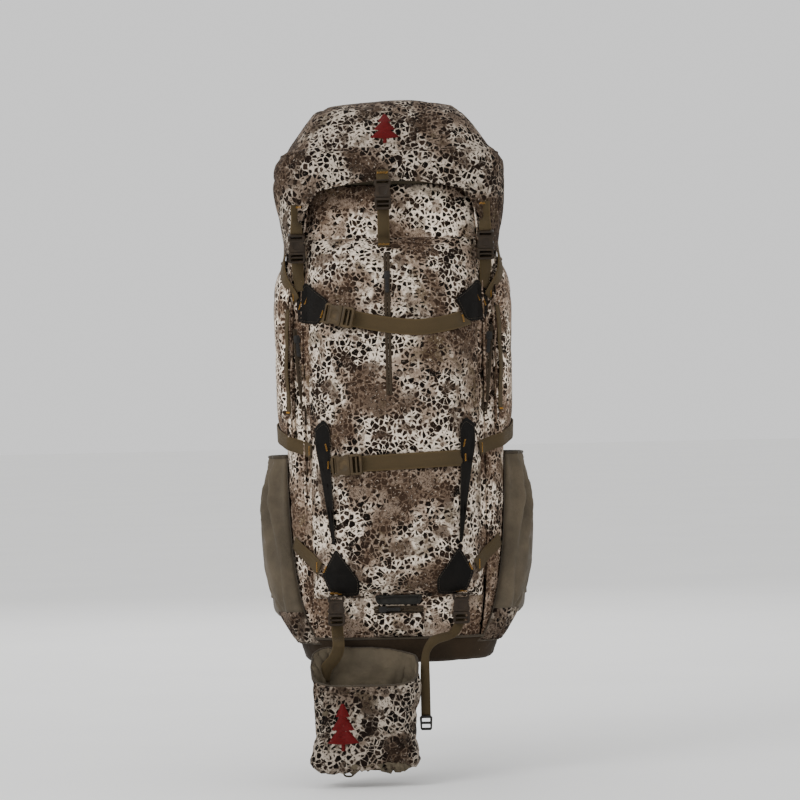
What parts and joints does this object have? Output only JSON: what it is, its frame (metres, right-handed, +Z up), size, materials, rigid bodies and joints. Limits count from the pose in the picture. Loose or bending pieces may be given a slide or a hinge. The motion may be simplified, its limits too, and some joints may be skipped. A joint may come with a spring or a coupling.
{
  "type": "hunting backpack",
  "caption": "Framed hunting backpack with a stuffed lid, camouflage pockets, compression straps, padded harness and hip belt, and a hanging bow boot.",
  "frame": {"origin": "middle of the lumbar pad's lower part, on the plane that rests on the wearer's back, level with the bag's floor", "axes": "+X to the viewer's right when the front is seen, +Y towards the wearer, +Z up"},
  "size_m": [0.3478, 0.5378, 0.8478],
  "materials": {
    "camo_fabric": "matt woven, scale-like camouflage print",
    "olive_fabric": "matt woven",
    "stretch_fabric": "stretch knit",
    "black_patch": "matt coated fabric",
    "cord": "braided",
    "webbing": "woven webbing",
    "zip_tape": "coil zip and tape",
    "plastic": "moulded acetal",
    "frame_plastic": "sheet",
    "frame_alloy": "satin",
    "padded_mesh": "spacer mesh over foam"
  },
  "bodies": {
    "pack": {"front_panel": "camo_fabric", "side_panels": "camo_fabric", "back_wall": "olive_fabric", "bottom_panel": "olive_fabric", "base_panel": "olive_fabric", "collar": "olive_fabric", "collar_drawcord": "cord", "front_pocket": "camo_fabric", "stow_pocket": "camo_fabric", "zip_tapes": "zip_tape", "label_patch": "black_patch", "left_bottle_pocket": "stretch_fabric", "right_bottle_pocket": "stretch_fabric", "left_wing_pocket": "camo_fabric", "right_wing_pocket": "camo_fabric", "strap_patches": "black_patch", "side_straps": "webbing", "cross_straps": "webbing", "bag_buckles": "plastic", "clip_webbing": "webbing", "frame_sheet": "frame_plastic", "frame_stays": "frame_alloy", "back_pads": "padded_mesh", "hydration_sleeve": "olive_fabric", "left_shoulder_strap": "padded_mesh", "right_shoulder_strap": "padded_mesh", "harness_webbing": "webbing", "ladder_locks": "plastic", "haul_loop": "webbing"},
    "lid": {"lid_shell": "camo_fabric", "lid_skirt": "camo_fabric", "lid_zip": "zip_tape", "lid_straps": "webbing", "lid_buckles": "plastic"},
    "lid_zip_pull": {"lid_zip_pull": "plastic"},
    "cord_lock": {"cord_lock": "plastic"},
    "cord_lock_button": {"cord_lock_button": "plastic"},
    "front_zip_pull": {"front_zip_pull": "plastic"},
    "left_zip_pull": {"left_zip_pull": "plastic"},
    "right_zip_pull": {"right_zip_pull": "plastic"},
    "stow_zip_pull": {"stow_zip_pull": "plastic"},
    "lid_front_clip": {"lid_front_clip": "plastic"},
    "lid_left_clip": {"lid_left_clip": "plastic"},
    "lid_right_clip": {"lid_right_clip": "plastic"},
    "upper_cross_clip": {"upper_cross_clip": "plastic"},
    "lower_cross_clip": {"lower_cross_clip": "plastic"},
    "boot_left_clip": {"boot_left_clip": "plastic"},
    "boot_right_clip": {"boot_right_clip": "plastic"},
    "boot": {"boot_shell": "camo_fabric", "boot_straps": "webbing", "boot_lock": "plastic"},
    "left_hip": {"left_hip_wing": "padded_mesh", "left_hip_webbing": "webbing", "hip_buckle": "plastic"},
    "right_hip": {"right_hip_wing": "padded_mesh", "right_hip_webbing": "webbing", "hip_clip": "plastic"},
    "sternum": {"sternum_strap": "webbing", "sternum_hardware": "plastic"},
    "sternum_clip": {"sternum_clip": "plastic"}
  },
  "joints": [
    {"name": "lid_hinge", "type": "hinge", "parent": "pack", "child": "lid", "pos_m": [0, -0.024, 0.59], "axis": [-1, 0, 0], "range_deg": [0, 95]},
    {"name": "lid_zip_slide", "type": "slide", "parent": "lid", "child": "lid_zip_pull", "axis": [1, 0, 0], "range_m": [0, 0.078]},
    {"name": "cord_lock_slide", "type": "slide", "parent": "pack", "child": "cord_lock", "axis": [0, -1, 0], "range_m": [0, 0.014]},
    {"name": "cord_lock_press", "type": "slide", "parent": "cord_lock", "child": "cord_lock_button", "axis": [0, 0, -1], "range_m": [0, 0.0024], "stiffness_N_per_m": 400},
    {"name": "front_zip_slide", "type": "slide", "parent": "pack", "child": "front_zip_pull", "axis": [0, -0.0986, -0.9951], "range_m": [0, 0.028]},
    {"name": "left_zip_slide", "type": "slide", "parent": "pack", "child": "left_zip_pull", "axis": [0.0981, -0.0998, -0.9902], "range_m": [0, 0.076]},
    {"name": "right_zip_slide", "type": "slide", "parent": "pack", "child": "right_zip_pull", "axis": [-0.0981, -0.0998, -0.9902], "range_m": [0, 0.076]},
    {"name": "stow_zip_slide", "type": "slide", "parent": "pack", "child": "stow_zip_pull", "axis": [1, 0, 0], "range_m": [0, 0.036]},
    {"name": "lid_front_release", "type": "slide", "parent": "pack", "child": "lid_front_clip", "axis": [0, 0, -1], "range_m": [0, 0.02]},
    {"name": "lid_left_release", "type": "slide", "parent": "pack", "child": "lid_left_clip", "axis": [0, 0.3796, -0.9252], "range_m": [0, 0.02]},
    {"name": "lid_right_release", "type": "slide", "parent": "pack", "child": "lid_right_clip", "axis": [0, 0.3796, -0.9252], "range_m": [0, 0.02]},
    {"name": "upper_cross_release", "type": "slide", "parent": "pack", "child": "upper_cross_clip", "axis": [0.9568, -0.1984, -0.2126], "range_m": [0, 0.02]},
    {"name": "lower_cross_release", "type": "slide", "parent": "pack", "child": "lower_cross_clip", "axis": [0.9883, -0.142, 0.0549], "range_m": [0, 0.02]},
    {"name": "boot_left_release", "type": "slide", "parent": "pack", "child": "boot_left_clip", "axis": [0, 0, -1], "range_m": [0, 0.0125]},
    {"name": "boot_right_release", "type": "slide", "parent": "pack", "child": "boot_right_clip", "axis": [0, 0, -1], "range_m": [0, 0.0125]},
    {"name": "boot_swing", "type": "hinge", "parent": "pack", "child": "boot", "pos_m": [-0.044, -0.248, 0.014], "axis": [-1, 0, 0], "range_deg": [0, 75]},
    {"name": "left_hip_fold", "type": "hinge", "parent": "pack", "child": "left_hip", "pos_m": [-0.08, 0.009, 0.08], "axis": [0, 0, 1], "range_deg": [-4, 45]},
    {"name": "right_hip_fold", "type": "hinge", "parent": "pack", "child": "right_hip", "pos_m": [0.08, 0.009, 0.08], "axis": [0, 0, -1], "range_deg": [-4, 45]},
    {"name": "sternum_height", "type": "slide", "parent": "pack", "child": "sternum", "axis": [0, 0, 1], "range_m": [-0.025, 0.02]},
    {"name": "sternum_release", "type": "slide", "parent": "sternum", "child": "sternum_clip", "axis": [1, 0, 0], "range_m": [0, 0.018]}
  ]
}
